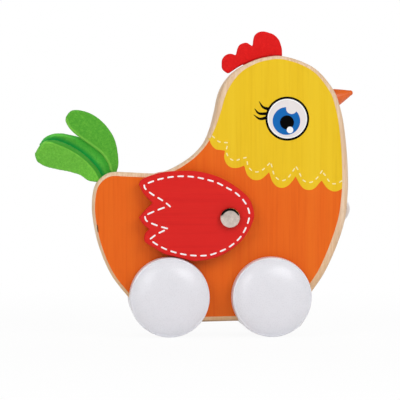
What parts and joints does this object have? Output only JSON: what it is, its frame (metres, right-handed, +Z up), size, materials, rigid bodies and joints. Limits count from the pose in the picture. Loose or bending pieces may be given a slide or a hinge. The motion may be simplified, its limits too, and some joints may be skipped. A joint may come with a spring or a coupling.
{
  "type": "pull-along chicken toy",
  "caption": "Wooden pull-along chicken with swinging wings, felt comb and tail leaves, closed wheels on through axles and a coiled pull cord with an end ball.",
  "frame": {"origin": "on the floor under the middle of the toy, without its cord", "axes": "+X toward the beak, -Y toward the flank that the picture shows, +Z up"},
  "size_m": [0.179, 0.1026, 0.1709],
  "materials": {
    "painted_board": "matt paint over rounded bare-wood edges",
    "beak_paint": "gloss paint",
    "comb_felt": "stiff craft felt",
    "leaf_felt_light": "stiff craft felt",
    "leaf_felt_dark": "stiff craft felt",
    "wing_paint": "satin paint with a printed dashed border",
    "wheel_enamel": "gloss enamel",
    "axle_wood": "bare dowel",
    "washer_plastic": "plain moulded",
    "cap_nickel": "satin nickel plate",
    "pin_steel": "drawn wire",
    "cord_braid": "braided cotton cord",
    "ball_enamel": "gloss enamel"
  },
  "bodies": {
    "toy_body": {"body_board": "painted_board", "beak": "beak_paint", "comb": "comb_felt", "tail_leaf_upper": "leaf_felt_light", "tail_leaf_far": "leaf_felt_dark", "tail_leaf_near": "leaf_felt_light", "wing_pin": "pin_steel", "rivet_cap_near": "cap_nickel", "rivet_cap_far": "cap_nickel", "wing_spacer_near": "washer_plastic", "wing_spacer_far": "washer_plastic", "pull_cord_stretch": "cord_braid", "pull_cord_coil": "cord_braid", "pull_cord_tail": "cord_braid", "pull_ball": "ball_enamel", "end_knot": "cord_braid", "wheel_washer_rear_near": "washer_plastic", "wheel_washer_rear_far": "washer_plastic", "wheel_washer_front_near": "washer_plastic", "wheel_washer_front_far": "washer_plastic"},
    "rear_wheelset": {"axle_rear": "axle_wood", "wheel_rear_near": "wheel_enamel", "wheel_rear_far": "wheel_enamel"},
    "front_wheelset": {"axle_front": "axle_wood", "wheel_front_near": "wheel_enamel", "wheel_front_far": "wheel_enamel"},
    "near_wing": {"wing_near": "wing_paint"},
    "far_wing": {"wing_far": "wing_paint"}
  },
  "joints": [
    {"name": "rear_wheels_roll", "type": "hinge", "parent": "toy_body", "child": "rear_wheelset", "pos_m": [-0.0148, 0, 0.0224], "axis": [0, 1, 0], "continuous": true},
    {"name": "front_wheels_roll", "type": "hinge", "parent": "toy_body", "child": "front_wheelset", "pos_m": [0.0421, 0, 0.0224], "axis": [0, 1, 0], "continuous": true},
    {"name": "near_wing_swing", "type": "hinge", "parent": "toy_body", "child": "near_wing", "pos_m": [0.0186, 0, 0.06655], "axis": [0, 1, 0], "range_deg": [0, 165]},
    {"name": "far_wing_swing", "type": "hinge", "parent": "toy_body", "child": "far_wing", "pos_m": [0.0186, 0, 0.06655], "axis": [0, 1, 0], "range_deg": [0, 165]}
  ]
}
